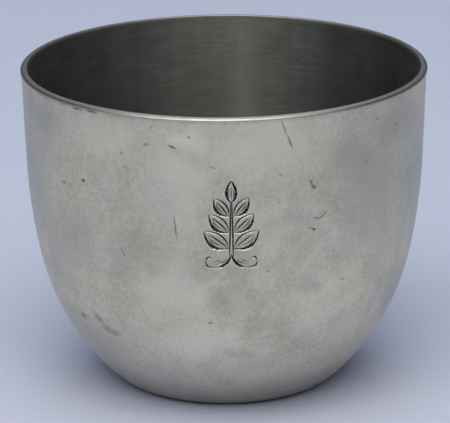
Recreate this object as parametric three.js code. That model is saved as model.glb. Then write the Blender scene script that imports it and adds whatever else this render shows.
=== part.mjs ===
// A pewter Jefferson cup: a round-bottomed, handle-less tumbler.
//
// The real cup is spun from one disc of pewter sheet over a wooden chuck. Its upper wall leans in a
// little, a slow shoulder arc takes over, and a rounder bowl arc runs down to a small standing ring.
// The floor inside that ring is kicked up, so that the cup stands on the ring alone. A half-round
// pewter wire is soldered flat side down on the lip, which stiffens it and makes the drinking edge.
//
// Millimetres, +Z up. The origin is the centre of the plane the cup stands on.

import * as THREE from "three";

// The outside of the spun body
const overallHeight = 63.3; // standing plane to the crown of the rim wire
const lipDiameter = 79.25; // outside of the wall, where the rim wire sits
const wallLean = 1.7; // degrees that the upper wall leans in on its way down
const upperWall = 17.5; // length of that leaning wall, before it starts to curve
const shoulderRadius = 111; // the slow arc below it
const shoulderEnd = 11.8; // degrees from upright where the bowl's arc takes over
const footDiameter = 43.9; // where the bowl's arc would cut the standing plane

// The sheet it is spun from
const wallThickness = 1.15;
const floorThickness = 1.4;
const insideCorner = 3.2; // radius between bowl and floor, on the inside

// The kicked-up floor
const standingRingWidth = 2.6; // the flat ring that touches the table
const kickHeight = 1.1; // how far the floor is pushed up inside the ring
const kickSlope = 6.5; // width of the smooth rise from the ring to the raised floor

// The rim wire
const wireWidth = 1.3;
const wireCrown = 0.6; // height of its rounded top over the flat side
const wireInsideRound = 0.25; // radius left on its inner edge, where it is turned flush with the wall

// How finely the round forms are cut
const turns = 72; // steps round the cup
const shoulderSteps = 5;
const bowlSteps = 13;
const cornerSteps = 5;
const kickSteps = 6;
const crownSteps = 8;
const insideRoundSteps = 3;

const pewterColour = 0x9c9c98;
const rimColour = 0xa9a9a4;

const radians = THREE.MathUtils.degToRad;
const lean = radians(wallLean);
const shoulderAngle = radians(shoulderEnd);
const seatHeight = overallHeight - wireCrown; // the flat lip that the wire is soldered to

// A point of a profile: x is the distance from the cup's axis, y the height.
const point = (radius, height) => new THREE.Vector2(radius, height);

// The point of an arc whose outward direction dips by an angle below the horizontal.
function onArc(centre, radius, dip) {
  return point(centre.x + radius * Math.cos(dip), centre.y - radius * Math.sin(dip));
}

// The points of an arc from one dip to another, both ends included.
function arc(centre, radius, from, to, steps) {
  return Array.from({ length: steps + 1 }, (_, i) => {
    return onArc(centre, radius, from + ((to - from) * i) / steps);
  });
}

// The centres that the outside and the inside of the wall share.
const wallFoot = point(
  lipDiameter / 2 - upperWall * Math.sin(lean),
  seatHeight - upperWall * Math.cos(lean),
);
const shoulderCentre = point(
  wallFoot.x - shoulderRadius * Math.cos(lean),
  wallFoot.y + shoulderRadius * Math.sin(lean),
);
const bowl = bowlArc();

// The bowl's arc leaves the shoulder without a break and ends at the foot's diameter: the circle
// that has the shoulder's direction at its end and passes through the foot.
function bowlArc() {
  const start = onArc(shoulderCentre, shoulderRadius, shoulderAngle);
  const inward = point(-Math.cos(shoulderAngle), Math.sin(shoulderAngle));
  const chord = point(footDiameter / 2, 0).sub(start);
  const radius = chord.lengthSq() / (2 * chord.dot(inward));
  return { centre: start.addScaledVector(inward, radius), radius };
}

// The rounding between the bowl and a level floor: tangent to both.
function cornerArc(bowlRadius, floorHeight, cornerRadius) {
  const reach = bowlRadius - cornerRadius;
  const rise = floorHeight + cornerRadius - bowl.centre.y;
  const centre = point(
    bowl.centre.x + Math.sqrt(reach * reach - rise * rise),
    floorHeight + cornerRadius,
  );
  return { centre, radius: cornerRadius, start: Math.asin(-rise / reach) };
}

// One face of the spun sheet, from the lip down to the level ring of the floor. The inner face is
// the outer one moved in by the sheet's thickness.
function wallFace(inset, floorHeight, cornerRadius) {
  const shoulderTop = onArc(shoulderCentre, shoulderRadius - inset, lean);
  const lip = point(
    shoulderTop.x + (seatHeight - shoulderTop.y) * Math.tan(lean),
    seatHeight,
  );
  const bowlRadius = bowl.radius - inset;
  const corner = cornerArc(bowlRadius, floorHeight, cornerRadius);
  return [
    lip,
    ...arc(shoulderCentre, shoulderRadius - inset, lean, shoulderAngle, shoulderSteps),
    ...arc(bowl.centre, bowlRadius, shoulderAngle, corner.start, bowlSteps).slice(1),
    ...arc(corner.centre, corner.radius, corner.start, Math.PI / 2, cornerSteps).slice(1),
  ];
}

const outsideCorner = insideCorner + wallThickness;
const outerWall = wallFace(0, 0, outsideCorner);
const innerWall = wallFace(wallThickness, floorThickness, insideCorner);
const ringOutside = outerWall.at(-1).x;
const ringInside = ringOutside - standingRingWidth;

// One face of the floor, from the standing ring's inner edge up the kick to the axis.
function floorFace(height) {
  const rise = Array.from({ length: kickSteps + 1 }, (_, i) => {
    const share = i / kickSteps;
    const lift = (kickHeight * (1 - Math.cos(Math.PI * share))) / 2;
    return point(ringInside - kickSlope * share, height + lift);
  });
  return [...rise, point(0, height + kickHeight)];
}

// A solid turned about Z from a closed profile.
function turned(name, profile, colour, roughness) {
  const geometry = new THREE.LatheGeometry(profile, turns);
  geometry.rotateX(Math.PI / 2);
  const material = new THREE.MeshStandardMaterial({ color: colour, roughness, metalness: 1 });
  const mesh = new THREE.Mesh(geometry, material);
  mesh.name = name;
  return mesh;
}

// The spun shell: up the outside from the axis, over the lip, and back down the inside.
function cupBody() {
  const outside = [...outerWall, ...floorFace(0)].reverse();
  const inside = [...innerWall, ...floorFace(floorThickness)];
  return turned("cup_body", [...outside, ...inside], pewterColour, 0.42);
}

// A quarter of an ellipse, anticlockwise from one quarter turn, both ends included.
function quarter(centre, across, up, from, steps) {
  return Array.from({ length: steps + 1 }, (_, i) => {
    const turn = from + ((Math.PI / 2) * i) / steps;
    return point(centre.x + across * Math.cos(turn), centre.y + up * Math.sin(turn));
  });
}

// The half-round wire: flat side down on the lip. Its inner face is turned flush with the inside of
// the wall and rounded over, and its crown falls away outward to a little past the wall.
function rimWire() {
  const inside = innerWall[0].x;
  const crownFoot = point(inside + wireInsideRound, seatHeight);
  const roundCentre = point(crownFoot.x, overallHeight - wireInsideRound);
  const crown = quarter(crownFoot, wireWidth - wireInsideRound, wireCrown, 0, crownSteps);
  const insideRound = quarter(
    roundCentre,
    wireInsideRound,
    wireInsideRound,
    Math.PI / 2,
    insideRoundSteps,
  ).slice(1);
  const section = [...crown, ...insideRound, point(inside, seatHeight), crown[0].clone()];
  return turned("rim_wire", section, rimColour, 0.28);
}

const cup = new THREE.Group();
cup.name = "jefferson_cup";
cup.add(cupBody(), rimWire());

export default cup;
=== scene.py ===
import math

import bmesh
import bpy
import numpy as np
from mathutils import Matrix, Vector


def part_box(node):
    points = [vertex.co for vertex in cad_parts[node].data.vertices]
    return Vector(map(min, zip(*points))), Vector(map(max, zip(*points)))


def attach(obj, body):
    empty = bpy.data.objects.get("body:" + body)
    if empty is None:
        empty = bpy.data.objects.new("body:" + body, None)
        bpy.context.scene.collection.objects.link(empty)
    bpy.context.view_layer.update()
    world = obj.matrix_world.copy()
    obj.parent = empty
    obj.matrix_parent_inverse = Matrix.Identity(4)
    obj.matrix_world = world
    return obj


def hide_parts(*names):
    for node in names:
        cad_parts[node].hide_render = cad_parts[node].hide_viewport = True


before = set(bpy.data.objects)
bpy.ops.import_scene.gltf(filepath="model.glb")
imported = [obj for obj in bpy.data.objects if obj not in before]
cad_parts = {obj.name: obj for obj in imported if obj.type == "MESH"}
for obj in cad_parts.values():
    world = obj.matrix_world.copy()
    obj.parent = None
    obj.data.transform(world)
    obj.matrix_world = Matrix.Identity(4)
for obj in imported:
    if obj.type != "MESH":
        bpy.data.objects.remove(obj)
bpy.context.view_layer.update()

# The spun body: its shape
# One disc of pewter sheet, spun over a round-bottomed chuck: a wall that leans in a little, a slow
# shoulder, a rounder bowl, and a floor kicked up inside a flat ring, on which the cup stands.
mm = 0.001
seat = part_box("cup_body")[1].z / mm  # the flat lip, under the rim wire
lip_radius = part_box("cup_body")[1].x / mm
wall_lean = math.radians(1.7)
upper_wall = 17.5  # length of the leaning wall, before it starts to curve
shoulder_radius = 111
shoulder_end = math.radians(11.8)
foot_radius = 21.95  # where the bowl's arc would cut the table
wall = 1.15
floor = 1.4
inside_corner = 3.2
ring_width = 2.6
kick_height = 1.1
kick_slope = 6.5
curve_points = 160  # points that stand for each curve until it is cut into rows


def arc(centre, radius, first, last):
    """The points of an arc, from one dip below the horizontal to another."""
    dip = np.linspace(first, last, curve_points)
    return centre + radius * np.column_stack([np.cos(dip), -np.sin(dip)])


down_the_wall = np.array([-math.sin(wall_lean), -math.cos(wall_lean)])
into_the_wall = np.array([-math.cos(wall_lean), math.sin(wall_lean)])
wall_foot = np.array([lip_radius, seat]) + upper_wall * down_the_wall
shoulder_centre = wall_foot + shoulder_radius * into_the_wall
bowl_start = arc(shoulder_centre, shoulder_radius, wall_lean, shoulder_end)[-1]
bowl_inward = np.array([-math.cos(shoulder_end), math.sin(shoulder_end)])
bowl_chord = np.array([foot_radius, 0]) - bowl_start
bowl_radius = bowl_chord @ bowl_chord / (2 * bowl_chord @ bowl_inward)
bowl_centre = bowl_start + bowl_radius * bowl_inward


def corner_between(face_radius, level, radius):
    """The centre and the first dip of the rounding between the bowl and a level floor."""
    reach = face_radius - radius
    rise = level + radius - bowl_centre[1]
    centre = np.array([bowl_centre[0] + math.sqrt(reach**2 - rise**2), level + radius])
    return centre, math.asin(-rise / reach)


ring_outside = corner_between(bowl_radius, 0, inside_corner + wall)[0][0]
ring_inside = ring_outside - ring_width


def sheet_face(inset, level, corner_radius):
    """One face of the sheet from lip to axis, in millimetres, and where its corner starts."""
    shoulder = arc(shoulder_centre, shoulder_radius - inset, wall_lean, shoulder_end)
    lip = shoulder[0] + (seat - shoulder[0, 1]) * np.array([math.tan(wall_lean), 1])
    corner_centre, corner_start = corner_between(bowl_radius - inset, level, corner_radius)
    bowl = arc(bowl_centre, bowl_radius - inset, shoulder_end, corner_start)
    corner = arc(corner_centre, corner_radius, corner_start, math.pi / 2)
    share = np.linspace(0, 1, curve_points)
    kick = np.column_stack([
        ring_inside - kick_slope * share,
        level + kick_height * (1 - np.cos(math.pi * share)) / 2,
    ])
    wall_points = np.vstack([lip, shoulder, bowl[1:]])
    points = np.vstack([wall_points, corner[1:], kick, [0, level + kick_height]])
    return points, lengths_along(wall_points)[-1]


def lengths_along(points):
    """How far each point lies from the first, along the line through them."""
    steps = np.hypot(*np.diff(points, axis=0).T)
    return np.concatenate([[0], np.cumsum(steps)])


def row_places(points, corner_at, wall_step, floor_step):
    """The lengths at which a face is cut into rows, closer together at the corner and floor."""
    end = lengths_along(points)[-1]
    on_wall = np.linspace(0, corner_at, math.ceil(corner_at / wall_step) + 1)
    on_floor = np.linspace(corner_at, end, math.ceil((end - corner_at) / floor_step) + 1)
    return np.concatenate([on_wall, on_floor[1:]])


def on_face(points, along, angle, lift=0.0):
    """Points of a face in metres: along it, round it from the front, and raised off it by lift."""
    lengths = lengths_along(points)
    growing = lengths + 1e-9 * np.arange(len(lengths))  # a hair apart where two points meet
    tangent = np.gradient(points, growing, axis=0)
    radius = np.interp(along, lengths, points[:, 0])
    height = np.interp(along, lengths, points[:, 1])
    out = -np.interp(along, lengths, tangent[:, 1])
    up = np.interp(along, lengths, tangent[:, 0])
    radius = radius + lift * out
    height = height + lift * up
    return mm * np.stack([radius * np.sin(angle), -radius * np.cos(angle), height + 0 * angle], -1)


outer_face, outer_corner = sheet_face(0, 0, inside_corner + wall)
inner_face, inner_corner = sheet_face(wall, floor, inside_corner)

# The engraved sprig
# A generic leafy sprig, cut into the wall by hand with a graver. Each line is a furrow that starts
# fine, swells and ends fine, with a burr thrown up along both of its edges. The bold lines were
# rocked as they were cut, which left their edges ragged.
sprig_angle = math.radians(1.7)  # right of the front
sprig_height = 42.4  # of its middle; its points are in millimetres right of there and above
furrow_slope = 1.1  # depth of a furrow over half its width
burr_start = 0.8  # where the burr starts to rise, in half widths from the furrow's middle
burr_reach = 2.1  # where it ends, in the same measure
burr_height = 0.3  # in half widths
bold, medium, fine = 0.56, 0.38, 0.26  # widths of the three kinds of line
blunt = 0.06  # share of the swell that is cut off at each end of a line
fullness = 0.55  # under 1, so that a line swells quickly and then keeps its width
rocked = (-0.28, 0.22)  # how far a bold line's width strays, as shares of it
steady = (-0.1, 0.1)  # the same for the finer lines
point_spacing = 0.25  # between the points that stand for a line
fewest_points = 8
hand = np.random.default_rng(5)
strokes = []


def cut(start, bend, end, width, swell=1.0):
    """Adds a line along a curve that leaves start towards bend and comes to end from it."""
    start, bend, end = (np.array(point, float) for point in (start, bend, end))
    steps = fewest_points + round(np.linalg.norm(end - start) / point_spacing)
    share = np.linspace(0, 1, steps)[:, None]
    line = (1 - share) ** 2 * start + 2 * share * (1 - share) * bend + share**2 * end
    swelling = blunt + (1 - 2 * blunt) * share[:, 0]
    taper = np.sin(math.pi * swelling) ** (fullness * swell)
    uneven = hand.uniform(*(rocked if width == bold else steady), steps)
    strokes.append((line, width / 2 * taper * (1 + uneven)))


def leaf(foot, length, rise, side):
    """A pointed leaf, laid out in shares of its length: two edges, a rib, and shading under it."""
    way = np.array([side * math.cos(rise), math.sin(rise)])
    up = np.array([-side * math.sin(rise), math.cos(rise)])
    tip = foot + length * way
    belly = foot + 0.45 * length * way
    cut(foot, belly - 0.52 * length * up, tip, bold)
    cut(foot, belly + 0.44 * length * up, tip, medium)
    cut(foot + 0.06 * length * way, belly + 0.05 * length * up, foot + 0.80 * length * way, medium)
    for share in (0.38, 0.7):
        start = foot + (0.10 + 0.06 * share) * length * way - 0.10 * share * length * up
        end = foot + (0.90 - 0.14 * share) * length * way - 0.03 * share * length * up
        cut(start, belly - 0.50 * share * length * up, end, fine)


def scroll(side):
    """A curl beside the foot of the stem: a line that turns in to a hook, shaded by two fine ones."""
    cut((0, -5.6), (side * 0.7, -8.0), (side * 2.6, -8.3), bold)
    cut((side * 2.6, -8.3), (side * 4.9, -8.6), (side * 4.8, -6.9), medium)
    cut((side * 4.8, -6.9), (side * 4.5, -5.8), (side * 3.6, -6.5), medium)
    cut((side * 0.9, -6.4), (side * 1.5, -7.5), (side * 2.9, -7.6), fine)
    cut((side * 1.9, -6.7), (side * 2.4, -7.1), (side * 3.3, -7.2), fine)


# Each pair of leaves is shorter and more upright than the one below it.
leaf_pairs = 3
leaf_spacing = 3.2
lowest_foot = -4.4
lowest_length = 5.7
shorter_by = 0.65
lowest_rise = 36  # degrees
steeper_by = 8
beside_stem = 0.5  # where a leaf starts, from the sprig's middle line
for pair in range(leaf_pairs):
    for side in (-1, 1):
        leaf_foot = np.array([side * beside_stem, lowest_foot + leaf_spacing * pair])
        leaf_rise = math.radians(lowest_rise + steeper_by * pair)
        leaf(leaf_foot, lowest_length - shorter_by * pair, leaf_rise, side)

# Two lines draw the stem, with a scroll to each side of its foot and a bud on top.
for side in (-1, 1):
    scroll(side)
    cut((0, 4.6), (side * 1.75, 6.3), (0, 8.9), bold)
    cut((side * 0.38, 5.5), (side * 0.62, 6.4), (side * 0.28, 7.3), fine)
    cut((side * 0.34, -6.0), (side * 0.26, -1.0), (side * 0.08, 4.9), medium, swell=0.5)
cut((0, 5.2), (0, 6.5), (0, 7.9), fine)


def graver_work(across, up):
    """How deep the furrows are and how high the burrs stand at points of the wall, all in mm."""
    depth = np.zeros(across.shape)
    burr = np.zeros(across.shape)
    for line, half in strokes:
        margin = burr_reach * half.max()
        near = (
            (across > line[:, 0].min() - margin) & (across < line[:, 0].max() + margin)
            & (up > line[:, 1].min() - margin) & (up < line[:, 1].max() + margin)
        )
        here = np.column_stack([across[near], up[near]])[:, None, :]
        first, step = line[:-1], np.diff(line, axis=0)
        share = np.clip(((here - first) * step).sum(2) / (step * step).sum(1), 0, 1)
        gap = np.linalg.norm(here - first - share[..., None] * step, axis=2)
        half_here = half[:-1] + share * np.diff(half)
        nearest = (gap / half_here).argmin(1)
        pick = np.arange(len(nearest))
        ratio = gap[pick, nearest] / half_here[pick, nearest]
        size = half_here[pick, nearest]
        furrow = furrow_slope * size * np.clip(1 - ratio, 0, 1)
        ridge = np.clip((ratio - burr_start) / (burr_reach - burr_start), 0, 1)
        thrown = burr_height * size * np.sin(math.pi * ridge) ** 2
        depth[near] = np.maximum(depth[near], furrow)
        burr[near] = np.maximum(burr[near], thrown)
    return depth, np.where(depth > 0, 0, burr)


# The spun body: its mesh
# Both faces of the sheet are turned in rows and columns. A window round the sprig is cut much
# finer, and the cells that border it take in its edge points, so that the shell stays closed.
columns = 180
window_columns = 4  # to each side of the sprig
window_half_height = 9.6  # a little more than the sprig's reach
cuts = 22  # fine cells to each coarse one
wall_step = 1.3
floor_step = 0.75

outer_rows = row_places(outer_face, outer_corner, wall_step, floor_step)
inner_rows = row_places(inner_face, inner_corner, wall_step, floor_step)
column_angle = 2 * math.pi / columns
outer_lengths = lengths_along(outer_face)
sprig_along = np.interp(-sprig_height, -outer_face[:, 1], outer_lengths)
first_row = int(np.searchsorted(outer_rows, sprig_along - window_half_height)) - 1
last_row = int(np.searchsorted(outer_rows, sprig_along + window_half_height))

points = []


def add_points(places):
    """Adds a grid of points to the mesh, and gives their numbers in the same grid."""
    first = len(points)
    flat = places.reshape(-1, 3)
    points.extend(flat.tolist())
    return np.arange(first, first + len(flat)).reshape(places.shape[:-1])


def coarse_grid(face, rows):
    """The points of a face, less its last row, which is the one point on the axis."""
    angle = sprig_angle + column_angle * np.arange(columns)
    return add_points(on_face(face, rows[:-1, None], angle[None, :]))


def fine_window():
    """The points of the engraved window, and how deep or raised each is, for the material."""
    steps = np.arange(0, (last_row - first_row) * cuts + 1) / cuts + first_row
    along = np.interp(steps, np.arange(len(outer_rows)), outer_rows)[:, None]
    turn = np.arange(-window_columns * cuts, window_columns * cuts + 1) / cuts * column_angle
    radius = np.interp(along, outer_lengths, outer_face[:, 0])
    depth, burr = graver_work(radius * turn[None, :], sprig_along - along + 0 * turn[None, :])
    numbers = add_points(on_face(outer_face, along, sprig_angle + turn[None, :], burr - depth))
    return numbers, depth, burr


outer = coarse_grid(outer_face, outer_rows)
inner = coarse_grid(inner_face, inner_rows)
window, furrow_depth, burr_lift = fine_window()


def in_window(row, column):
    """Where a coarse point lies in the fine grid, or None outside it."""
    shifted = (column + columns // 2) % columns - columns // 2
    if first_row <= row <= last_row and abs(shifted) <= window_columns:
        return (row - first_row) * cuts, (shifted + window_columns) * cuts
    return None


def side_of_cell(start, end):
    """The point numbers from one coarse point up to the next, with any fine ones between them."""
    fine_start, fine_end = in_window(*start), in_window(*end)
    if not fine_start or not fine_end:
        return [window[fine_start] if fine_start else outer[start[0], start[1] % columns]]
    down = np.linspace(fine_start[0], fine_end[0], cuts + 1).round().astype(int)[:-1]
    right = np.linspace(fine_start[1], fine_end[1], cuts + 1).round().astype(int)[:-1]
    return list(window[down, right])


def outer_cells():
    """The cells of the outside that aren't replaced by the window."""
    cells = []
    for row in range(len(outer_rows) - 2):
        for column in range(columns):
            corners = [(row, column), (row + 1, column), (row + 1, column + 1), (row, column + 1)]
            places = [in_window(*corner) for corner in corners]
            if all(places):
                continue
            sides = zip(corners, corners[1:] + corners[:1])
            cells.append([int(n) for start, end in sides for n in side_of_cell(start, end)])
    return cells


def grid_cells(numbers, closed, flip):
    """The four-sided cells of a grid of points, closed round the cup or not."""
    after = np.roll(numbers, -1, axis=1) if closed else numbers[:, 1:]
    here = numbers if closed else numbers[:, :-1]
    cells = np.stack([here[:-1], here[1:], after[1:], after[:-1]], -1).reshape(-1, 4)
    return (cells[:, ::-1] if flip else cells).tolist()


def close_at_axis(numbers, face, flip):
    """A fan of triangles from the last row to the point on the axis."""
    centre = int(add_points(mm * np.array([[0, 0, face[-1, 1]]]))[0])
    last = numbers[-1].tolist()
    fans = [[a, centre, b] for a, b in zip(last, last[1:] + last[:1])]
    return [fan[::-1] for fan in fans] if flip else fans


outside_cells = outer_cells() + grid_cells(window, closed=False, flip=False)
outside_cells += close_at_axis(outer, outer_face, flip=False)
lip_cells = grid_cells(np.stack([outer[0], inner[0]]), closed=True, flip=True)
inside_cells = grid_cells(inner, closed=True, flip=True)
inside_cells += close_at_axis(inner, inner_face, flip=True)
body_cells = outside_cells + lip_cells + inside_cells

body_mesh = bpy.data.meshes.new("pewter_body")
body_mesh.from_pydata(points, [], body_cells)
body_mesh.polygons.foreach_set("use_smooth", [True] * len(body_mesh.polygons))
inside_from = len(outside_cells) + len(lip_cells)
body_mesh.polygons.foreach_set(
    "material_index", [int(n >= inside_from) for n in range(len(body_mesh.polygons))]
)
lip_points = set(outer[0].tolist()) | set(inner[0].tolist())
for edge in body_mesh.edges:
    edge.use_edge_sharp = set(edge.vertices) <= lip_points

# The material reads the engraving as shares of a bold line's full depth and of its burr's height.
furrows = body_mesh.attributes.new("furrow", "FLOAT", "POINT")
burrs = body_mesh.attributes.new("burr", "FLOAT", "POINT")
depth_at_points = np.zeros(len(points))
burr_at_points = np.zeros(len(points))
depth_at_points[window.ravel()] = furrow_depth.ravel() / (furrow_slope * bold / 2)
burr_at_points[window.ravel()] = burr_lift.ravel() / (burr_height * bold / 2)
furrows.data.foreach_set("value", depth_at_points)
burrs.data.foreach_set("value", burr_at_points)

# The window took the place of the coarse points inside it, which no cell uses.
used = np.zeros(len(points), bool)
used[[n for cell in body_cells for n in cell]] = True
clean = bmesh.new()
clean.from_mesh(body_mesh)
bmesh.ops.delete(clean, geom=[v for v in clean.verts if not used[v.index]], context="VERTS")
clean.to_mesh(body_mesh)
clean.free()

body = bpy.data.objects.new("pewter_body", body_mesh)
bpy.context.scene.collection.objects.link(body)
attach(body, "root")
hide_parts("cup_body")


# The outside of the body: pewter, rubbed to a satin
# Pewter grows a thin grey skin with age, and hand rubbing leaves it cloudy. To the eye it is a
# soft grey sheen with a faint grain round the cup, knocks and scratches, and a few olive stains.
def linear(colour):
    """An sRGB hex colour as the linear one that a shader takes."""
    parts = [int(colour[i:i + 2], 16) / 255 for i in (1, 3, 5)]
    return [c / 12.92 if c <= 0.04045 else ((c + 0.055) / 1.055) ** 2.4 for c in parts] + [1.0]


def node(tree, kind, inputs=None, **settings):
    """Adds a shader node with its settings, and sets or links each of its inputs."""
    made = tree.nodes.new("ShaderNode" + kind)
    for name, value in settings.items():
        setattr(made, name, value)
    for name, value in (inputs or {}).items():
        if isinstance(value, bpy.types.NodeSocket):
            tree.links.new(value, made.inputs[name])
        else:
            made.inputs[name].default_value = value
    return made


def new_material(name):
    """An empty material with its node tree."""
    material = bpy.data.materials.new(name)
    material.use_nodes = True
    material.node_tree.nodes.clear()
    return material, material.node_tree


def round_the_cup(tree, turn_scale, line_scale):
    """Coordinates that draw a pattern out into long lines round the cup.

    The lines break up more often on their way round for a higher turn_scale, and lie closer for a
    higher line_scale.
    """
    place = node(tree, "TexCoord").outputs["Object"]
    level = node(tree, "VectorMath", {0: place, 1: (1, 1, 0)}, operation="MULTIPLY").outputs[0]
    height = node(tree, "SeparateXYZ", {0: place}).outputs["Z"]
    radius = node(tree, "VectorMath", {0: level}, operation="LENGTH").outputs["Value"]
    along = node(tree, "Math", {0: height, 1: radius}, operation="ADD").outputs[0]
    lines = node(tree, "Math", {0: along, 1: line_scale}, operation="MULTIPLY").outputs[0]
    way = node(tree, "VectorMath", {0: level}, operation="NORMALIZE").outputs[0]
    slow = node(tree, "VectorMath", {0: way, "Scale": turn_scale}, operation="SCALE").outputs[0]
    lift = node(tree, "CombineXYZ", {"Z": lines}).outputs[0]
    return node(tree, "VectorMath", {0: slow, 1: lift}, operation="ADD").outputs[0]


per_mm = 1 / mm
mix_share, mix_from, mix_to, mixed = 0, 6, 7, 2  # a colour Mix node's inputs, and its output
cloud_size = 16  # in millimetres, like all that follow: a finger's width
tarnish_size = 7
patch_size = 4.5
speck_size = 0.8
# Real pits and turning lines are finer. They are drawn as coarse as they need to be to show.
pit_size = 0.4
grain_spacing = 0.45
satin, tree = new_material("pewter_rubbed_satin")
place = node(tree, "TexCoord").outputs["Object"]
clouds = node(tree, "TexNoise", {
    "Vector": place, "Scale": per_mm / cloud_size, "Detail": 3.0,
}).outputs["Fac"]
patches = node(tree, "TexNoise", {
    "Vector": place, "Scale": per_mm / patch_size, "Detail": 5.0, "Roughness": 0.65,
}).outputs["Fac"]
tarnish = node(tree, "TexNoise", {
    "Vector": place, "Scale": per_mm / tarnish_size, "Detail": 4.0,
}).outputs["Fac"]
specks = node(tree, "TexNoise", {
    "Vector": place, "Scale": per_mm / speck_size, "Detail": 3.0, "Roughness": 0.7,
}).outputs["Fac"]
turned_lines = round_the_cup(tree, 3.0, per_mm / grain_spacing)
hair_lines = node(tree, "TexNoise", {"Vector": turned_lines, "Scale": 1.0}).outputs["Fac"]

# The skin: a light and a darker grey in clouds, yellower where tarnish has begun, with patches and
# fine specks.
cloudy = node(tree, "MapRange", {
    "Value": clouds, "From Min": 0.35, "From Max": 0.68,
}, interpolation_type="SMOOTHSTEP").outputs[0]
metal = node(tree, "Mix", {
    mix_share: cloudy, mix_from: linear("#d8d2bf"), mix_to: linear("#e3dbc7"),
}, data_type="RGBA").outputs[mixed]
yellowed = node(tree, "MapRange", {
    "Value": tarnish, "From Min": 0.35, "From Max": 0.65,
}).outputs[0]
metal = node(tree, "Mix", {
    mix_share: yellowed, mix_from: metal, mix_to: linear("#ded5ba"),
}, data_type="RGBA").outputs[mixed]
patchy = node(tree, "MapRange", {
    "Value": patches, "From Min": 0.42, "From Max": 0.7, "To Max": 0.55,
}).outputs[0]
metal = node(tree, "Mix", {
    mix_share: patchy, mix_from: metal, mix_to: linear("#c6bda8"),
}, data_type="RGBA").outputs[mixed]
speckled = node(tree, "MapRange", {
    "Value": specks, "From Min": 0.4, "From Max": 0.8, "To Max": 0.42,
}).outputs[0]
metal = node(tree, "Mix", {
    mix_share: speckled, mix_from: metal, mix_to: linear("#8e8b87"),
}, data_type="RGBA").outputs[mixed]

# Places on the front are measured in millimetres right of the middle and up. Marks there fade out
# at the sides, because each would show on the back as well.
parts = node(tree, "SeparateXYZ", {0: place}).outputs
front = node(tree, "CombineXYZ", {"X": parts["X"], "Y": parts["Z"]}).outputs[0]
on_front = node(tree, "MapRange", {
    "Value": parts["Y"], "From Min": 10 * mm, "From Max": -12 * mm,
}, interpolation_type="SMOOTHSTEP").outputs[0]


def add_marks(tree, places, soft_from, uneven_by, uneven_over):
    """How strongly each point of the front is marked, by a soft oval for each place.

    An oval is full out to soft_from of its reach. Its edge strays by uneven_by millimetres in waves
    of uneven_over millimetres.
    """
    uneven = node(tree, "TexNoise", {
        "Vector": place, "Scale": per_mm / uneven_over, "Detail": 3.0,
    }).outputs["Color"]
    wander = node(tree, "VectorMath", {
        0: uneven, 1: (uneven_by * mm, uneven_by * mm, 0),
        2: (-uneven_by / 2 * mm, -uneven_by / 2 * mm, 0),
    }, operation="MULTIPLY_ADD").outputs[0]
    moved = node(tree, "VectorMath", {0: front, 1: wander}, operation="ADD").outputs[0]
    total = 0.0
    for right, up, length, width, tilt, strength in places:
        oval = node(tree, "Mapping", {
            "Vector": moved, "Location": (right * mm, up * mm, 0),
            "Rotation": (0, 0, math.radians(tilt)), "Scale": (length / 2 * mm, width / 2 * mm, 1),
        }, vector_type="TEXTURE").outputs[0]
        reach = node(tree, "VectorMath", {0: oval}, operation="LENGTH").outputs["Value"]
        mark = node(tree, "MapRange", {
            "Value": reach, "From Min": 1.0, "From Max": soft_from, "To Max": strength,
        }, interpolation_type="SMOOTHSTEP").outputs[0]
        total = node(tree, "Math", {0: total, 1: mark}, operation="MAXIMUM").outputs[0]
    return node(tree, "Math", {0: total, 1: on_front}, operation="MULTIPLY").outputs[0]


# Each mark's place, then its length, width, tilt in degrees from level, and strength.
# Painted sheen: lighter ovals where the wall catches more light.
painted_sheen = [
    (6.0, 58.0, 40, 22, 0, 0.6),
    (-9.0, 52.0, 20, 30, 10, 0.7),
    (-6.0, 60.5, 14, 10, 0, 1.0),
    (-22.0, 57.5, 24, 16, 0, 0.6),
    (-4.0, 18.0, 30, 15, 4, 1.0),
    (-8.0, 27.0, 22, 26, 30, 0.7),
    (17.0, 25.0, 26, 22, -20, 0.5),
    (8.0, 41.0, 14, 22, 0, 0.5),
]
# Painted shade: darker ovals where the wall catches less light.
painted_shade = [
    (27.0, 48.0, 26, 46, 0, 0.5),
    (31.0, 57.0, 16, 16, 0, 0.7),
    (12.0, 43.5, 14, 7, 0, 0.35),
    (16.0, 28.5, 7, 6, 0, 0.5),
    (-35.0, 59.0, 10, 12, 0, 0.6),
    (-29.0, 35.0, 22, 24, 0, 0.4),
    (-19.0, 34.7, 14, 18, 0, 0.4),
    (-14.0, 32.5, 9, 7, 0, 0.45),
    (-26.0, 14.0, 24, 17, -30, 0.75),
]
# Painted shade towards the wall's sides, where its sheen falls off.
painted_side_shade = [
    (38.0, 43.0, 14, 50, 0, 0.75),
    (33.5, 19.0, 13, 30, 0, 0.8),
    (28.0, 29.0, 14, 18, 0, 0.15),
    (-38.0, 45.0, 13, 52, 0, 0.65),
    (-33.0, 28.0, 10, 22, 0, 0.35),
]
stains = [
    (-0.8, 27.3, 11, 9, -40, 0.6),
    (8.5, 19.2, 20, 10, -35, 0.8),
    (1.8, 15.5, 14, 4, -18, 0.6),
    (12.0, 17.0, 13, 9, 0, 0.5),
    (6.0, 35.0, 32, 26, 0, 0.35),
    (-20.0, 26.0, 14, 9, -60, 0.3),
]
grime = [
    (-34.0, 62.5, 6.0, 0.6, 0, 0.55),
    (-28.5, 62.5, 11, 0.7, 0, 0.45),
    (-27.4, 62.3, 2.0, 0.9, 0, 0.9),
    (-24.5, 62.4, 3.4, 0.8, 0, 0.85),
    (-27.4, 18.6, 2.2, 2.4, 0, 0.8),
    (-24.3, 19.4, 4.4, 1.8, -53, 0.6),
    (-22.6, 17.5, 4.0, 2.6, -44, 0.65),
    (-21.3, 17.1, 3.6, 2.6, 5, 0.65),
    (23.5, 53.5, 14, 9.0, -57, 0.14),
    (-15.6, 39.0, 12.0, 8.0, -67, 0.18),
]
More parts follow.
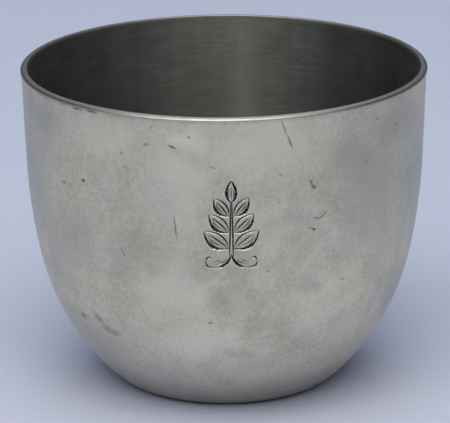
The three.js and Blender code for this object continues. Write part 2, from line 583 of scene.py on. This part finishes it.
knocks = [
    (10.9, 60.9, 4.2, 0.32, -69, 0.65),
    (12.0, 58.2, 3.8, 0.45, -70, 0.75),
    (-9.6, 57.6, 2.1, 0.5, -25, 0.8),
    (-19.1, 55.4, 0.8, 0.7, 0, 0.5),
    (-18.6, 52.7, 0.8, 0.8, 0, 0.25),
    (-14.5, 57.6, 1.2, 0.8, 35, 0.4),
    (-13.4, 61.1, 0.6, 0.6, 0, 0.4),
    (-17.9, 50.3, 8.8, 0.25, -90, 0.18),
    (-6.5, 59.6, 0.9, 0.7, 0, 0.45),
    (-2.3, 53.9, 1.8, 0.5, -16, 0.35),
    (10.2, 51.9, 0.7, 0.6, 0, 0.5),
    (15.9, 49.9, 1.9, 0.9, -65, 0.5),
    (16.4, 48.9, 1.6, 0.9, -60, 0.6),
    (17.1, 42.6, 2.2, 0.5, -10, 0.4),
    (18.2, 43.0, 3.1, 0.5, 39, 0.55),
    (15.8, 40.9, 1.3, 0.45, -28, 0.45),
    (16.5, 40.5, 1.0, 0.8, -30, 0.8),
    (10.0, 46.7, 1.1, 0.6, -46, 0.3),
    (28.5, 59.5, 0.8, 0.8, 0, 0.45),
    (32.4, 57.0, 1.6, 0.45, -18, 0.3),
    (-30.3, 46.8, 1.0, 0.8, -34, 0.6),
    (-26.5, 48.4, 1.1, 0.9, -50, 0.8),
    (-9.2, 41.9, 6.2, 0.42, -84, 0.6),
    (-19.1, 35.5, 2.9, 0.4, -62, 0.38),
    (-23.3, 45.2, 12.0, 0.28, 13, 0.15),
    (-4.2, 25.1, 1.5, 0.45, 7, 0.2),
    (-3.0, 22.3, 1.4, 0.6, 20, 0.6),
    (22.1, 28.9, 1.2, 0.7, -47, 0.35),
    (7.9, 33.0, 1.1, 0.8, -33, 0.3),
]
# The three lists above paint sheen and shade into the skin's colour.
for places, uneven_by, colour in (
    (painted_sheen, 12.0, "#eee7d1"),
    (painted_shade, 10.0, "#afaba0"),
    (painted_side_shade, 8.0, "#afafad"),
):
    light_and_shade = add_marks(tree, places, 0.0, uneven_by, 9)
    metal = node(tree, "Mix", {
        mix_share: light_and_shade, mix_from: metal, mix_to: linear(colour),
    }, data_type="RGBA").outputs[mixed]
stained = add_marks(tree, stains, 0.1, 1.0, 2.5)
blotchy = node(tree, "MapRange", {
    "Value": patches, "From Min": 0.36, "From Max": 0.66, "To Min": 0.15,
}).outputs[0]
stained = node(tree, "Math", {0: stained, 1: blotchy}, operation="MULTIPLY").outputs[0]
metal = node(tree, "Mix", {
    mix_share: stained, mix_from: metal, mix_to: linear("#aeaa8a"),
}, data_type="RGBA").outputs[mixed]
grimy = add_marks(tree, grime, 0.2, 1.0, 1.0)
metal = node(tree, "Mix", {
    mix_share: grimy, mix_from: metal, mix_to: linear("#7d7661"),
}, data_type="RGBA").outputs[mixed]
knocked = add_marks(tree, knocks, 0.35, 0.4, 1.2)


def scattered(tree, cell, longest, width, share, strength):
    """Marks in a share of the cells at random, each of its own length, tilt and strength.

    The cells are as many millimetres wide as cell says, and so are the marks' width and longest.
    """
    where = node(tree, "TexCoord").outputs
    cells = node(tree, "TexVoronoi", {
        "Vector": where["Object"], "Scale": per_mm / cell,
    }).outputs
    offset = node(tree, "VectorMath", {
        0: where["Object"], 1: cells["Position"],
    }, operation="SUBTRACT").outputs[0]
    round_it = node(tree, "VectorMath", {
        0: (0, 0, 1), 1: where["Object"],
    }, operation="CROSS_PRODUCT").outputs[0]
    round_it = node(tree, "VectorMath", {0: round_it}, operation="NORMALIZE").outputs[0]
    along_it = node(tree, "VectorMath", {
        0: where["Normal"], 1: round_it,
    }, operation="CROSS_PRODUCT").outputs[0]
    flat = node(tree, "CombineXYZ", {
        name: node(
            tree, "VectorMath", {0: offset, 1: way}, operation="DOT_PRODUCT",
        ).outputs["Value"]
        for name, way in (("X", round_it), ("Y", along_it))
    }).outputs[0]
    chance = node(tree, "SeparateColor", {0: cells["Color"]}).outputs
    tilt = node(tree, "Math", {0: chance["Red"], 1: math.pi}, operation="MULTIPLY").outputs[0]
    flat = node(tree, "VectorRotate", {
        "Vector": flat, "Angle": tilt,
    }, rotation_type="Z_AXIS").outputs[0]
    half_length = node(tree, "MapRange", {
        "Value": chance["Green"], "To Min": width / 2 * mm, "To Max": longest / 2 * mm,
    }).outputs[0]
    size = node(tree, "CombineXYZ", {"X": half_length, "Y": width / 2 * mm, "Z": 1.0}).outputs[0]
    oval = node(tree, "VectorMath", {0: flat, 1: size}, operation="DIVIDE").outputs[0]
    reach = node(tree, "VectorMath", {0: oval}, operation="LENGTH").outputs["Value"]
    mark = node(tree, "MapRange", {
        "Value": reach, "From Min": 1.0, "From Max": 0.35,
    }, interpolation_type="SMOOTHSTEP").outputs[0]
    there = node(tree, "MapRange", {
        "Value": chance["Blue"], "From Min": share, "From Max": 0.0, "To Max": strength,
    }).outputs[0]
    return node(tree, "Math", {0: mark, 1: there}, operation="MULTIPLY").outputs[0]


# The sides and the back wear in the same way, at random: long scratches, and small dents.
off_front = node(tree, "MapRange", {
    "Value": parts["Y"], "From Min": -20 * mm, "From Max": -8 * mm,
}, interpolation_type="SMOOTHSTEP").outputs[0]
for worn in (
    scattered(tree, cell=9, longest=5.0, width=0.4, share=0.5, strength=0.75),
    scattered(tree, cell=6, longest=1.3, width=0.7, share=0.3, strength=0.7),
):
    worn = node(tree, "Math", {0: worn, 1: off_front}, operation="MULTIPLY").outputs[0]
    knocked = node(tree, "Math", {0: knocked, 1: worn}, operation="MAXIMUM").outputs[0]
metal = node(tree, "Mix", {
    mix_share: knocked, mix_from: metal, mix_to: linear("#3a3a37"),
}, data_type="RGBA").outputs[mixed]

# Painted reflection: the turn of the foot is tinted a paler, cooler grey, for the cool paper that
# it reflects.
painted_cool_reflection = node(tree, "MapRange", {
    "Value": parts["Z"], "From Min": 26 * mm, "From Max": 8 * mm, "To Max": 0.42,
}).outputs[0]
metal = node(tree, "Mix", {
    mix_share: painted_cool_reflection, mix_from: metal, mix_to: linear("#dedddb"),
}, data_type="RGBA").outputs[mixed]
# Painted shade: the bowl darkens just above the table, for the shadow that it reflects there.
painted_foot_shade = node(tree, "MapRange", {
    "Value": parts["Z"], "From Min": 8 * mm, "From Max": 1 * mm, "To Max": 0.35,
}).outputs[0]
metal = node(tree, "Mix", {
    mix_share: painted_foot_shade, mix_from: metal, mix_to: linear("#9c9d9d"),
}, data_type="RGBA").outputs[mixed]

# The bowl's skin is finely pitted, more in some places than in others.
pits = node(tree, "TexNoise", {
    "Vector": place, "Scale": per_mm / pit_size, "Detail": 1.0,
}).outputs["Fac"]
pitted = node(tree, "MapRange", {
    "Value": pits, "From Min": 0.48, "From Max": 0.68, "To Max": 0.42,
}).outputs[0]
uneven_pits = node(tree, "MapRange", {
    "Value": patches, "From Min": 0.38, "From Max": 0.6, "To Min": 0.1,
}).outputs[0]
pitted = node(tree, "Math", {0: pitted, 1: uneven_pits}, operation="MULTIPLY").outputs[0]
on_bowl = node(tree, "MapRange", {
    "Value": parts["Z"], "From Min": 34 * mm, "From Max": 20 * mm,
}, interpolation_type="SMOOTHSTEP").outputs[0]
pitted = node(tree, "Math", {0: pitted, 1: on_bowl}, operation="MULTIPLY").outputs[0]
metal = node(tree, "Mix", {
    mix_share: pitted, mix_from: metal, mix_to: linear("#aca590"),
}, data_type="RGBA").outputs[mixed]

# The wall is darker, unevenly, in a narrow band just under the wire, and tables rub the standing ring
# bright.
seam = node(tree, "MapRange", {
    "Value": parts["Z"], "From Min": (seat - 0.8) * mm, "From Max": (seat - 0.1) * mm,
    "To Max": 0.35,
}, interpolation_type="SMOOTHSTEP").outputs[0]
seam = node(tree, "Math", {0: seam, 1: patches}, operation="MULTIPLY").outputs[0]
metal = node(tree, "Mix", {
    mix_share: seam, mix_from: metal, mix_to: linear("#6f6e6b"),
}, data_type="RGBA").outputs[mixed]
rubbed = node(tree, "MapRange", {
    "Value": parts["Z"], "From Min": 0.3 * mm, "From Max": 0.05 * mm, "To Max": 0.7,
}).outputs[0]
metal = node(tree, "Mix", {
    mix_share: rubbed, mix_from: metal, mix_to: linear("#e4e2dc"),
}, data_type="RGBA").outputs[mixed]

# The engraving: old polish and grime fill the furrows, and the burrs carry a painted highlight.
furrow = node(tree, "Attribute", attribute_name="furrow").outputs["Fac"]
burr = node(tree, "Attribute", attribute_name="burr").outputs["Fac"]
burr_highlight = node(tree, "MapRange", {
    "Value": burr, "From Min": 0.1, "From Max": 0.7, "To Max": 0.85,
}).outputs[0]
metal = node(tree, "Mix", {
    mix_share: burr_highlight, mix_from: metal, mix_to: linear("#f0eee9"),
}, data_type="RGBA").outputs[mixed]
filled = node(tree, "MapRange", {
    "Value": furrow, "From Min": 0.03, "From Max": 0.42, "To Max": 0.94,
}).outputs[0]
metal = node(tree, "Mix", {
    mix_share: filled, mix_from: metal, mix_to: linear("#1e1e1b"),
}, data_type="RGBA").outputs[mixed]

# The sheen is uneven, like the clouds and the grain, and the knocks are dents.
haze = node(tree, "Math", {0: clouds, 1: hair_lines}, operation="ADD").outputs[0]
roughness = node(tree, "MapRange", {
    "Value": haze, "From Min": 0.6, "From Max": 1.4, "To Min": 0.36, "To Max": 0.46,
}).outputs[0]
grain = node(tree, "Math", {0: hair_lines, 1: patches}, operation="ADD").outputs[0]
relief = node(tree, "Math", {0: knocked, 1: -3.0, 2: grain}, operation="MULTIPLY_ADD").outputs[0]
bump = node(tree, "Bump", {
    "Strength": 0.2, "Distance": 0.02 * mm, "Height": relief,
}).outputs["Normal"]
shader = node(tree, "BsdfPrincipled", {
    "Base Color": metal, "Metallic": 1.0, "Roughness": roughness, "Normal": bump,
})
node(tree, "OutputMaterial", {"Surface": shader.outputs[0]})
body_mesh.materials.append(satin)

# The inside of the body: pewter, as turned
# It was smoothed on the lathe and never rubbed, so fine rings run round it, and they draw
# highlights out into a soft upright band. Its colours are painted darker than the outside's, as
# shade inside the cup.
ring_spacing = 0.7  # wider than the real rings, which wouldn't show
inside_cloud_size = 9
streak_spacing = 90  # up the wall, so that a streak runs all the way
turned, tree = new_material("pewter_turned_dull")
place = node(tree, "TexCoord").outputs["Object"]
rings = node(tree, "TexNoise", {
    "Vector": round_the_cup(tree, 5.0, per_mm / ring_spacing),
    "Scale": 1.0, "Detail": 4.0, "Roughness": 0.7,
}).outputs["Fac"]
clouds = node(tree, "TexNoise", {
    "Vector": place, "Scale": per_mm / inside_cloud_size, "Detail": 4.0, "Roughness": 0.6,
}).outputs["Fac"]
ringed = node(tree, "MapRange", {"Value": rings, "From Min": 0.3, "From Max": 0.7}).outputs[0]
# Painted shade: the inside's colours are darker than the outside's.
metal = node(tree, "Mix", {
    mix_share: ringed, mix_from: linear("#9b9997"), mix_to: linear("#b9b8b5"),
}, data_type="RGBA").outputs[mixed]
cloudy = node(tree, "MapRange", {
    "Value": clouds, "From Min": 0.42, "From Max": 0.68, "To Max": 0.5,
}).outputs[0]
metal = node(tree, "Mix", {
    mix_share: cloudy, mix_from: metal, mix_to: linear("#848381"),
}, data_type="RGBA").outputs[mixed]

# It darkens from below the brim downwards. Drinks that stood in the bottom have left it darker
# still, up to a wavering tide line.
parts = node(tree, "SeparateXYZ", {0: place}).outputs
below_brim = node(tree, "MapRange", {
    "Value": parts["Z"], "From Min": 60 * mm, "From Max": 36 * mm, "To Max": 0.55,
}).outputs[0]
metal = node(tree, "Mix", {
    mix_share: below_brim, mix_from: metal, mix_to: linear("#716f6d"),
}, data_type="RGBA").outputs[mixed]
tide = node(tree, "Math", {
    0: clouds, 1: 9 * mm, 2: parts["Z"],
}, operation="MULTIPLY_ADD").outputs[0]
steeped = node(tree, "MapRange", {
    "Value": tide, "From Min": 15 * mm, "From Max": 13.5 * mm, "To Max": 0.5,
}, interpolation_type="SMOOTHSTEP").outputs[0]
metal = node(tree, "Mix", {
    mix_share: steeped, mix_from: metal, mix_to: linear("#6b6861"),
}, data_type="RGBA").outputs[mixed]

# Runs of drink have left faint upright streaks. A painted highlight, a lighter upright band on the
# far wall, fades out at its sides and towards the floor.
streaks = node(tree, "TexNoise", {
    "Vector": round_the_cup(tree, 9.0, per_mm / streak_spacing), "Scale": 1.0, "Detail": 3.0,
}).outputs["Fac"]
streaked = node(tree, "MapRange", {
    "Value": streaks, "From Min": 0.4, "From Max": 0.7, "To Max": 0.4,
}).outputs[0]
metal = node(tree, "Mix", {
    mix_share: streaked, mix_from: metal, mix_to: linear("#7f7f7b"),
}, data_type="RGBA").outputs[mixed]
highlight_band_right = 4.5  # how far right of the middle the band runs
aside = node(tree, "Math", {0: parts["X"], 1: -highlight_band_right * mm}, operation="ADD").outputs[0]
aside = node(tree, "Math", {0: aside}, operation="ABSOLUTE").outputs[0]
painted_band_highlight = node(tree, "MapRange", {
    "Value": aside, "From Min": 5.5 * mm, "From Max": 0.5 * mm, "To Max": 0.3,
}, interpolation_type="SMOOTHSTEP").outputs[0]
for way, least, most in (("Y", 18, 30), ("Z", 16, 38)):
    within = node(tree, "MapRange", {
        "Value": parts[way], "From Min": least * mm, "From Max": most * mm,
    }, interpolation_type="SMOOTHSTEP").outputs[0]
    painted_band_highlight = node(tree, "Math", {0: painted_band_highlight, 1: within}, operation="MULTIPLY").outputs[0]
# The painted highlight lightens the band.
metal = node(tree, "Mix", {
    mix_share: painted_band_highlight, mix_from: metal, mix_to: linear("#c9c7c3"),
}, data_type="RGBA").outputs[mixed]
scratched = scattered(tree, cell=7, longest=6.0, width=0.3, share=0.6, strength=0.5)
metal = node(tree, "Mix", {
    mix_share: scratched, mix_from: metal, mix_to: linear("#5f5f5b"),
}, data_type="RGBA").outputs[mixed]

bump = node(tree, "Bump", {
    "Strength": 0.2, "Distance": 0.02 * mm, "Height": rings,
}).outputs["Normal"]
tangent = node(tree, "Tangent", direction_type="RADIAL", axis="Z").outputs[0]
shader = node(tree, "BsdfPrincipled", {
    "Base Color": metal, "Metallic": 1.0, "Roughness": 0.45, "Anisotropic": 0.64,
    "Anisotropic Rotation": 0.25, "Tangent": tangent, "Normal": bump,
})
node(tree, "OutputMaterial", {"Surface": shader.outputs[0]})
body_mesh.materials.append(turned)

# The rim wire
# A half-round pewter wire, bent to a ring and soldered flat side down on the lip. Lips and hands
# keep its crown bright, and small knocks have nicked it.
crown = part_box("rim_wire")[1].z / mm - seat
wire_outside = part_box("rim_wire")[1].x / mm
wire_inside = inner_face[0, 0]  # turned flush with the inside of the wall
inside_round = 0.25
wire_columns = 288
crown_steps = 16
round_steps = 8


def quarter(centre, across, up, first, steps):
    """The points of a quarter of an ellipse, anticlockwise from the first angle, ends included."""
    turn = first + math.pi / 2 * np.linspace(0, 1, steps + 1)
    return centre + np.column_stack([across * np.cos(turn), up * np.sin(turn)])


crown_foot = np.array([wire_inside + inside_round, seat])
round_centre = crown_foot + [0, crown - inside_round]
section = np.vstack([
    quarter(crown_foot, wire_outside - crown_foot[0], crown, 0, crown_steps),
    quarter(round_centre, inside_round, inside_round, math.pi / 2, round_steps)[1:],
    [wire_inside, seat],
])
wire_angle = 2 * math.pi / wire_columns * np.arange(wire_columns)
wire_grid = mm * np.stack([
    section[:, :1] * np.sin(wire_angle),
    -section[:, :1] * np.cos(wire_angle),
    section[:, 1:] + 0 * wire_angle,
], -1)
wire_numbers = np.arange(wire_grid[..., 0].size).reshape(wire_grid.shape[:-1])
wire_cells = grid_cells(np.vstack([wire_numbers, wire_numbers[:1]]), closed=True, flip=True)
wire_mesh = bpy.data.meshes.new("rim_wire_bright")
wire_mesh.from_pydata(wire_grid.reshape(-1, 3).tolist(), [], wire_cells)
wire_mesh.polygons.foreach_set("use_smooth", [True] * len(wire_mesh.polygons))
flat_points = set(wire_numbers[0].tolist()) | set(wire_numbers[-1].tolist())
for edge in wire_mesh.edges:
    edge.use_edge_sharp = set(edge.vertices) <= flat_points
wire = bpy.data.objects.new("rim_wire_bright", wire_mesh)
bpy.context.scene.collection.objects.link(wire)
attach(wire, "root")
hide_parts("rim_wire")

# Burnished pewter is smoother than the rest of the cup, so the wire shows as a bright line. Wear
# has made its polish uneven.
wear_size = 1.6
bright, tree = new_material("pewter_burnished")
place = node(tree, "TexCoord").outputs["Object"]
parts = node(tree, "SeparateXYZ", {0: place}).outputs
wear = node(tree, "TexNoise", {
    "Vector": place, "Scale": per_mm / wear_size, "Detail": 3.0,
}).outputs["Fac"]
metal = node(tree, "Mix", {
    mix_share: wear, mix_from: linear("#bfb7b3"), mix_to: linear("#a9a19d"),
}, data_type="RGBA").outputs[mixed]
polish = node(tree, "MapRange", {
    "Value": wear, "From Min": 0.35, "From Max": 0.7, "To Min": 0.33, "To Max": 0.41,
}).outputs[0]

# The inner edge was never burnished and is dull, and its colour is painted darker as shade.
# The foot of the wire was turned in the lathe with the wall, inside and out, and is bare rougher
# metal.
level = node(tree, "VectorMath", {0: place, 1: (1, 1, 0)}, operation="MULTIPLY").outputs[0]
radius = node(tree, "VectorMath", {0: level}, operation="LENGTH").outputs["Value"]
dull_shaded_edge = node(tree, "MapRange", {
    "Value": radius, "From Min": (wire_inside + 0.3) * mm, "From Max": (wire_inside + 0.2) * mm,
}, interpolation_type="SMOOTHSTEP").outputs[0]
metal = node(tree, "Mix", {
    mix_share: dull_shaded_edge, mix_from: metal, mix_to: linear("#978f8b"),
}, data_type="RGBA").outputs[mixed]
roughness = node(tree, "Mix", {"Factor": dull_shaded_edge, "A": polish, "B": 0.5}).outputs["Result"]
side_face = node(tree, "MapRange", {
    "Value": radius, "From Min": (wire_inside + 0.06) * mm, "From Max": (wire_inside + 0.02) * mm,
}).outputs[0]
foot_edge = node(tree, "MapRange", {
    "Value": parts["Z"], "From Min": (seat + 0.2) * mm, "From Max": (seat + 0.05) * mm,
}).outputs[0]
bare = node(tree, "Math", {0: side_face, 1: foot_edge}, operation="MAXIMUM").outputs[0]
metal = node(tree, "Mix", {
    mix_share: bare, mix_from: metal, mix_to: linear("#c2bdb7"),
}, data_type="RGBA").outputs[mixed]
roughness = node(tree, "Mix", {"Factor": bare, "A": roughness, "B": 0.55}).outputs["Result"]

# Knocks have nicked it.
nicked = scattered(tree, cell=4, longest=1.6, width=0.4, share=0.5, strength=0.9)
metal = node(tree, "Mix", {
    mix_share: nicked, mix_from: metal, mix_to: linear("#5d5c59"),
}, data_type="RGBA").outputs[mixed]
relief = node(tree, "Math", {0: nicked, 1: -3.0, 2: wear}, operation="MULTIPLY_ADD").outputs[0]
bump = node(tree, "Bump", {
    "Strength": 0.3, "Distance": 0.02 * mm, "Height": relief,
}).outputs["Normal"]
shader = node(tree, "BsdfPrincipled", {
    "Base Color": metal, "Metallic": 1.0, "Roughness": roughness, "Normal": bump,
})
node(tree, "OutputMaterial", {"Surface": shader.outputs[0]})
wire_mesh.materials.append(bright)

# The studio
# The cup stands on a sheet of pale bluish paper. Large screens light it softly: cool ones overhead,
# at the sides and behind, like the light of the sky, and slightly warmer ones in front.
# Matt paper shows no highlight.
paper, tree = new_material("paper_pale")
shader = node(tree, "BsdfPrincipled", {
    "Base Color": linear("#d2d4ec"), "Roughness": 0.9, "Specular IOR Level": 0.2,
})
node(tree, "OutputMaterial", {"Surface": shader.outputs[0]})
half_paper = 1.5  # metres
paper_level = -0.02 * mm  # a hair under the standing ring, so that the two faces stay apart
corners = [
    (half_paper * right, half_paper * back, paper_level)
    for right, back in ((-1, -1), (1, -1), (1, 1), (-1, 1))
]
paper_mesh = bpy.data.meshes.new("paper")
paper_mesh.from_pydata(corners, [], [(0, 1, 2, 3)])
paper_mesh.materials.append(paper)
paper_floor = bpy.data.objects.new("paper", paper_mesh)
bpy.context.scene.collection.objects.link(paper_floor)

cup_middle = Vector((0, 0, 30 * mm))


def screen(name, around, up, distance, size, power, colour):
    """A soft square light that faces the cup from some degrees round it and above it.

    Its distance and size are in metres, and its power in watts.
    """
    around, up = math.radians(around), math.radians(up)
    level = math.cos(up)
    way = Vector((math.sin(around) * level, -math.cos(around) * level, math.sin(up)))
    lamp = bpy.data.lights.new(name, "AREA")
    lamp.shape = "SQUARE"
    lamp.size = size
    lamp.energy = power
    lamp.color = linear(colour)[:3]
    light = bpy.data.objects.new(name, lamp)
    light.location = cup_middle + distance * way
    light.rotation_euler = way.to_track_quat("Z", "Y").to_euler()
    bpy.context.scene.collection.objects.link(light)


cool = "#dff0ff"
warm = "#fff7d7"
screen("high_front", 0, 62, 1.0, 1.0, 6.1, "#fffeee")
screen("skylight", 0, 89, 2.4, 2.8, 11.3, cool)
screen("overhead", 0, 80, 2.4, 0.8, 4.2, "#fdfff4")
screen("left_front", -30, 45, 2.4, 2.0, 3.1, warm)
screen("left", -60, 50, 2.4, 1.2, 5.4, cool)
screen("right", 60, 45, 2.4, 1.2, 2.2, cool)
screen("behind", 180, 55, 2.4, 1.2, 5.4, cool)
screen("behind_low", 180, 45, 2.4, 2.8, 3.6, cool)

# The room's walls add a little cool light from all round.
world = bpy.data.worlds.new("room")
world.use_nodes = True
world.node_tree.nodes["Background"].inputs["Color"].default_value = linear(cool)
world.node_tree.nodes["Background"].inputs["Strength"].default_value = 0.095
bpy.context.scene.world = world
bpy.context.scene.view_settings.view_transform = "Standard"

# The camera
# The cup is seen from a little above through a long lens, as an object is for a sale catalogue. The
# camera is held by hand, so the picture is turned by a hair.
camera_distance = 0.500  # level, from the cup's axis, in metres
camera_height = 0.19655
looks_down = math.radians(18.159)
leans = math.radians(-0.4475)
frame_pixels = 450  # width of the picture
focal_pixels = 2639.4

lens = bpy.data.cameras.new("long_lens")
lens.sensor_fit = "HORIZONTAL"
lens.lens = lens.sensor_width * focal_pixels / frame_pixels
camera = bpy.data.objects.new("camera", lens)
camera.matrix_world = (
    Matrix.Translation((0, -camera_distance, camera_height))
    @ Matrix.Rotation(math.pi / 2 - looks_down, 4, "X")
    @ Matrix.Rotation(leans, 4, "Z")
)
bpy.context.scene.collection.objects.link(camera)
bpy.context.scene.camera = camera
